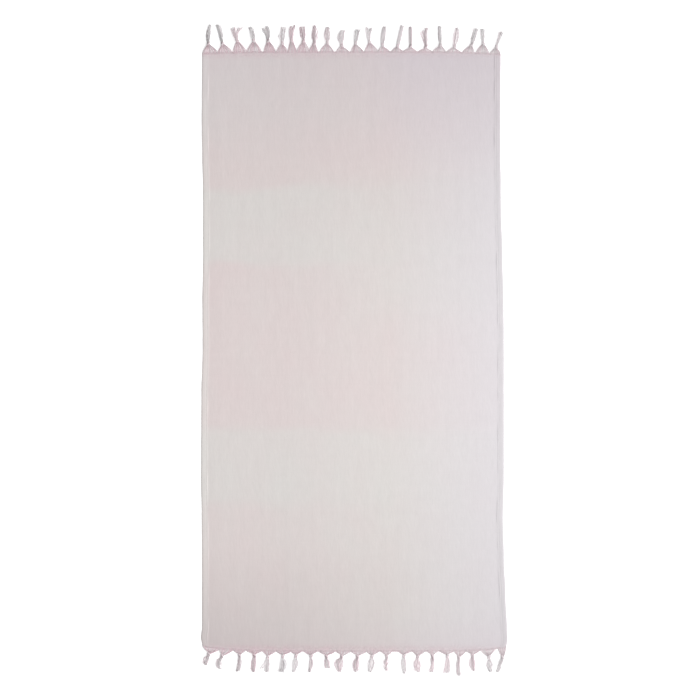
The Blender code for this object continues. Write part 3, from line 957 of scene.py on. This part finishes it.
def thread_rose(tassel, draw):
    """How much rose each thread of a bunch shows along its course: most of it before the knot."""
    dyed = draw.random(THREADS) > UNDYED_THREADS
    fading = 1.0 - FADES_TO_RIGHT * (tassel.knot_x * MM / FLAT_WIDTH + 0.5)
    before = fading * np.where(dyed, draw.uniform(0.8, 1.2, THREADS), draw.uniform(0.0, 0.3, THREADS))
    beyond = np.clip(0.7 * tassel.rose + draw.normal(0, 0.2, THREADS), 0, 1)
    return before[:, None] * (1 - past_knot()) + beyond[:, None] * past_knot()


def thread_tone(aside, before, beyond, draw):
    """How pale each thread of a bunch is along its course, before and beyond its knot. The outer
    threads of the gather are darkened as painted shade, the gather is made paler towards the knot
    as painted light, and the tips are a little darker."""
    past = past_knot()
    to_tips = level_ease((np.arange(THREAD_POINTS) - THREAD_POINTS + 5) / 4)
    nearing = level_ease(np.arange(THREAD_POINTS) / (GATHER_POINTS + 2))
    # painted light nearing the knot, and painted shade on the gather's outer threads
    gathered = before + PAINTED_LIGHT_NEAR_KNOT * nearing - OUTER_PAINTED_SHADE * np.abs(aside[:, None]) ** 3
    own = draw.random(THREADS)[:, None]
    return own + gathered * (1 - past) + beyond * past - TIPS_DARKER * to_tips


def tubes(courses, radii):
    """Round closed threads along many courses at once: their points, faces and corner places."""
    across, over = carried_sides(courses, np.array((0.31, 0.17, 0.94)))
    many, points = courses.shape[:2]
    angles = 2 * math.pi * np.arange(YARN_SIDES) / YARN_SIDES
    ring = (
        across[:, :, None] * np.cos(angles)[None, None, :, None]
        + over[:, :, None] * np.sin(angles)[None, None, :, None]
    )
    surface = courses[:, :, None] + ring * np.asarray(radii).reshape(1, -1, 1, 1)
    index = np.arange(many * points * YARN_SIDES).reshape(many, points, -1)
    beside = np.roll(index, -1, axis=2)
    walls = np.stack((index[:, :-1], beside[:, :-1], beside[:, 1:], index[:, 1:]), -1).reshape(-1, 4)
    caps = np.concatenate((index[:, 0, ::-1], index[:, -1]))
    run = np.zeros((many, points))
    run[:, 1:] = np.cumsum(np.linalg.norm(np.diff(courses, axis=1), axis=-1), axis=1)
    around = np.broadcast_to(np.arange(YARN_SIDES) / YARN_SIDES, index.shape)
    along = np.broadcast_to(run[:, :, None], index.shape)
    near, far = slice(None, -1), slice(1, None)
    quad = ((near, 0), (near, 1 / YARN_SIDES), (far, 1 / YARN_SIDES), (far, 0))
    corners = [np.stack((around[:, ring] + turn, along[:, ring]), -1) for ring, turn in quad]
    corners = np.stack(corners, axis=3).reshape(-1, 2)
    cap_corners = np.stack((around[:, [0, -1]], along[:, [0, -1]]), -1).reshape(-1, 2)
    return surface.reshape(-1, 3), walls, caps, corners, cap_corners


def yarn_piece(name, end, courses, radii, rose, tone):
    """One mesh of many threads, with the rose and the tone of each for their material."""
    surface, walls, caps, corners, cap_corners = tubes(courses, radii)
    surface[:, 1] = end.side * (surface[:, 1] + end.y)
    surface *= MM
    surface[:, 2] += TABLE_TOP
    piece = new_piece(name, surface, walls.tolist() + caps.tolist())
    set_uv(piece.data, "thread", np.vstack((corners, cap_corners)) * (1, MM))
    for value, of_points in (("rose", rose), ("tone", tone)):
        set_value(piece.data, value, np.repeat(of_points, YARN_SIDES, axis=1).ravel())
    deselect_all()
    piece.select_set(True)
    bpy.context.view_layer.objects.active = piece
    turn_faces_out()
    bpy.ops.object.shade_smooth()
    return piece


def make_fringe(name, tassels, prongs, end, before, beyond, seed):
    """One end's fringe: the threads of all its tassels."""
    draw = np.random.default_rng(seed + 500)
    courses, rose, tone = [], [], []
    for number, tassel in enumerate(tassels):
        own = [prong for prong in prongs if prong.tassel == number + 1]
        bunch, aside = bunch_threads(tassel, own, end, seed + number)
        courses.append(bunch)
        rose.append(thread_rose(tassel, draw))
        tone.append(thread_tone(aside, before, beyond, draw))
    courses, rose, tone = np.concatenate(courses), np.concatenate(rose), np.concatenate(tone)
    return yarn_piece(name, end, courses, thread_radii(), rose, tone)


YARN_TWIST = 0.0032  # in metres, the length in which the plies turn once round each other
YARN_WHITE = (0.710, 0.696, 0.702, 1.0)
YARN_ROSE = (0.695, 0.530, 0.575, 1.0)
YARN_SHADE = 0.88
YARN_TONES = 0.22
PLY_TONES = 0.08


def yarn_finish(name):
    """Loose cotton yarn: two plies twisted together, from greyish white to rose."""
    material, tree, shader = new_finish(name, 0.85, 0.20)
    place = node(tree, "UVMap", uv_map="thread")
    parts = node(tree, "SeparateXYZ", {0: place.outputs[0]})
    turns = sums(tree, "ADD", parts.outputs[0], sums(tree, "DIVIDE", parts.outputs[1], YARN_TWIST))
    ply = sums(tree, "SINE", times(tree, turns, 2 * math.tau))
    ply = sums(tree, "MULTIPLY_ADD", ply, 0.5)
    shade = added(tree, YARN_SHADE, mesh_value(tree, "tone"), YARN_TONES)
    shade = added(tree, shade, ply, PLY_TONES)
    dyed = mixed(tree, mesh_value(tree, "rose"), YARN_WHITE, YARN_ROSE)
    colour = node(tree, "VectorMath", {0: dyed, 1: shade}, operation="MULTIPLY").outputs[0]
    set_inputs(tree, shader, {"Base Color": colour, "Normal": relief(tree, ply, 0.5, 0.0002)})
    return material


warp_cotton = yarn_finish("rose warp cotton")
for name, tassels, prongs, end, before, beyond, seed in (
    ("fringe_head", HEAD_TASSELS_MM, HEAD_PRONGS_MM, HEAD, -0.52, 0.14, 100),
    ("fringe_foot", FOOT_TASSELS_MM, FOOT_PRONGS_MM, FOOT, -0.45, 0.50, 300),
):
    fringe = make_fringe(name + "_threads", tassels, prongs, end, before, beyond, seed)
    fringe.data.materials.append(warp_cotton)
    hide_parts(name)
    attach(fringe, "root")


# ---------- the last picks
# The picks that close the weave at each end, in thicker yarn and further apart than the rest. They
# pass over and under the warp, and the roots of the bunches hold them in their places.

PICKS_OUT = (-7.4, -5.0, -3.0, -1.4, 0.1, 1.5)  # how far each lies outside the end of the sheet
PICK_POINTS = 420
PICK_RADIUS = 0.42
PICK_WANDER = 0.35
PICK_WAVE = 0.25  # how far a pick rises and falls as it crosses the warp
PICK_SINKS = (0.2, 0.4)  # how deep the picks on the sheet lie, and the outermost one


def close_weave(name, end, seed):
    """The last picks of one end, each a wavy thread from hem to hem."""
    draw = np.random.default_rng(seed)
    left, right = between_hems(end)
    courses = []
    for number, outside in enumerate(PICKS_OUT):
        course = []
        for step in range(PICK_POINTS):
            x = left + (right - left) * step / (PICK_POINTS - 1)
            out, upper = weave_end(end, x, max(-outside, 0.0))
            wander = PICK_WANDER * noise.noise(Vector((x / 9, number, 31.0)))
            over = math.cos(math.pi * (step + number))
            level = upper + PICK_WAVE * over - PICK_SINKS[outside > 1]
            course.append((x, out + outside + wander, level))
        courses.append(course)
    rose = np.repeat(draw.uniform(0.3, 1.0, len(PICKS_OUT))[:, None], PICK_POINTS, axis=1)
    tone = np.repeat(draw.uniform(0.3, 0.9, len(PICKS_OUT))[:, None], PICK_POINTS, axis=1)
    radii = np.full(PICK_POINTS, PICK_RADIUS)
    return yarn_piece(name, end, np.array(courses), radii, rose, tone)


weft_cotton = yarn_finish("thick weft cotton")
for name, end, seed in (("last_picks_head", HEAD, 700), ("last_picks_foot", FOOT, 800)):
    picks = close_weave(name, end, seed)
    picks.data.materials.append(weft_cotton)
    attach(picks, "root")


# ---------- the table, the light, the camera
# A plain pale table top under the towel. A small round lamp hangs over its right half, a broad
# light comes in from a window on the right, and the room gives an even fill.

WHITE = (1.0, 1.0, 1.0, 1.0)

deselect_all()
bpy.ops.mesh.primitive_plane_add(size=16, location=(0, 0, TABLE_TOP))
table = bpy.context.object
table.name = "table_top"
table_paint = bpy.data.materials.new("pale table top")
table_paint.use_nodes = True
paint = table_paint.node_tree.nodes["Principled BSDF"]
pale = {
    "Base Color": (0.96, 0.96, 0.96, 1.0),
    "Roughness": 1.0,
    "Specular IOR Level": 0.0,
    "Emission Color": WHITE,
    "Emission Strength": 0.34,
}
set_inputs(table_paint.node_tree, paint, pale)
table.data.materials.append(table_paint)

world = bpy.data.worlds.new("room")
bpy.context.scene.world = world
world.use_nodes = True
room = world.node_tree.nodes["Background"]
set_inputs(world.node_tree, room, {"Color": WHITE, "Strength": 0.485})


def hang_light(name, kind, place, towards):
    """A new lamp of that kind at a place, turned towards a point."""
    lamp = bpy.data.lights.new(name, kind)
    hung = bpy.data.objects.new(name, lamp)
    hung.location = place
    hung.rotation_euler = (Vector(towards) - Vector(place)).to_track_quat("-Z", "Y").to_euler()
    bpy.context.scene.collection.objects.link(hung)
    return lamp


overhead = hang_light("overhead", "AREA", (0.44, -0.11, 1.80), (0.44, -0.11, 0.0))
overhead.shape = "DISK"
overhead.size = 0.6
overhead.energy = 14.8
window = hang_light("window", "SUN", (5.0, -0.4, 2.9), (0.0, 0.0, 0.0))
window.angle = 0.7
window.energy = 2.1

VIEW_WIDTH = 2.10  # what the camera sees from side to side at the table
LENS = 100.0
SENSOR = 36.0
camera_data = bpy.data.cameras.new("camera")
camera_data.lens = LENS
camera_data.sensor_width = SENSOR
camera_data.clip_end = 50.0
camera = bpy.data.objects.new("camera", camera_data)
camera.location = (-0.0132, 0.0003, TABLE_TOP + VIEW_WIDTH * LENS / SENSOR)
bpy.context.scene.collection.objects.link(camera)
bpy.context.scene.camera = camera
bpy.context.scene.view_settings.view_transform = "Standard"
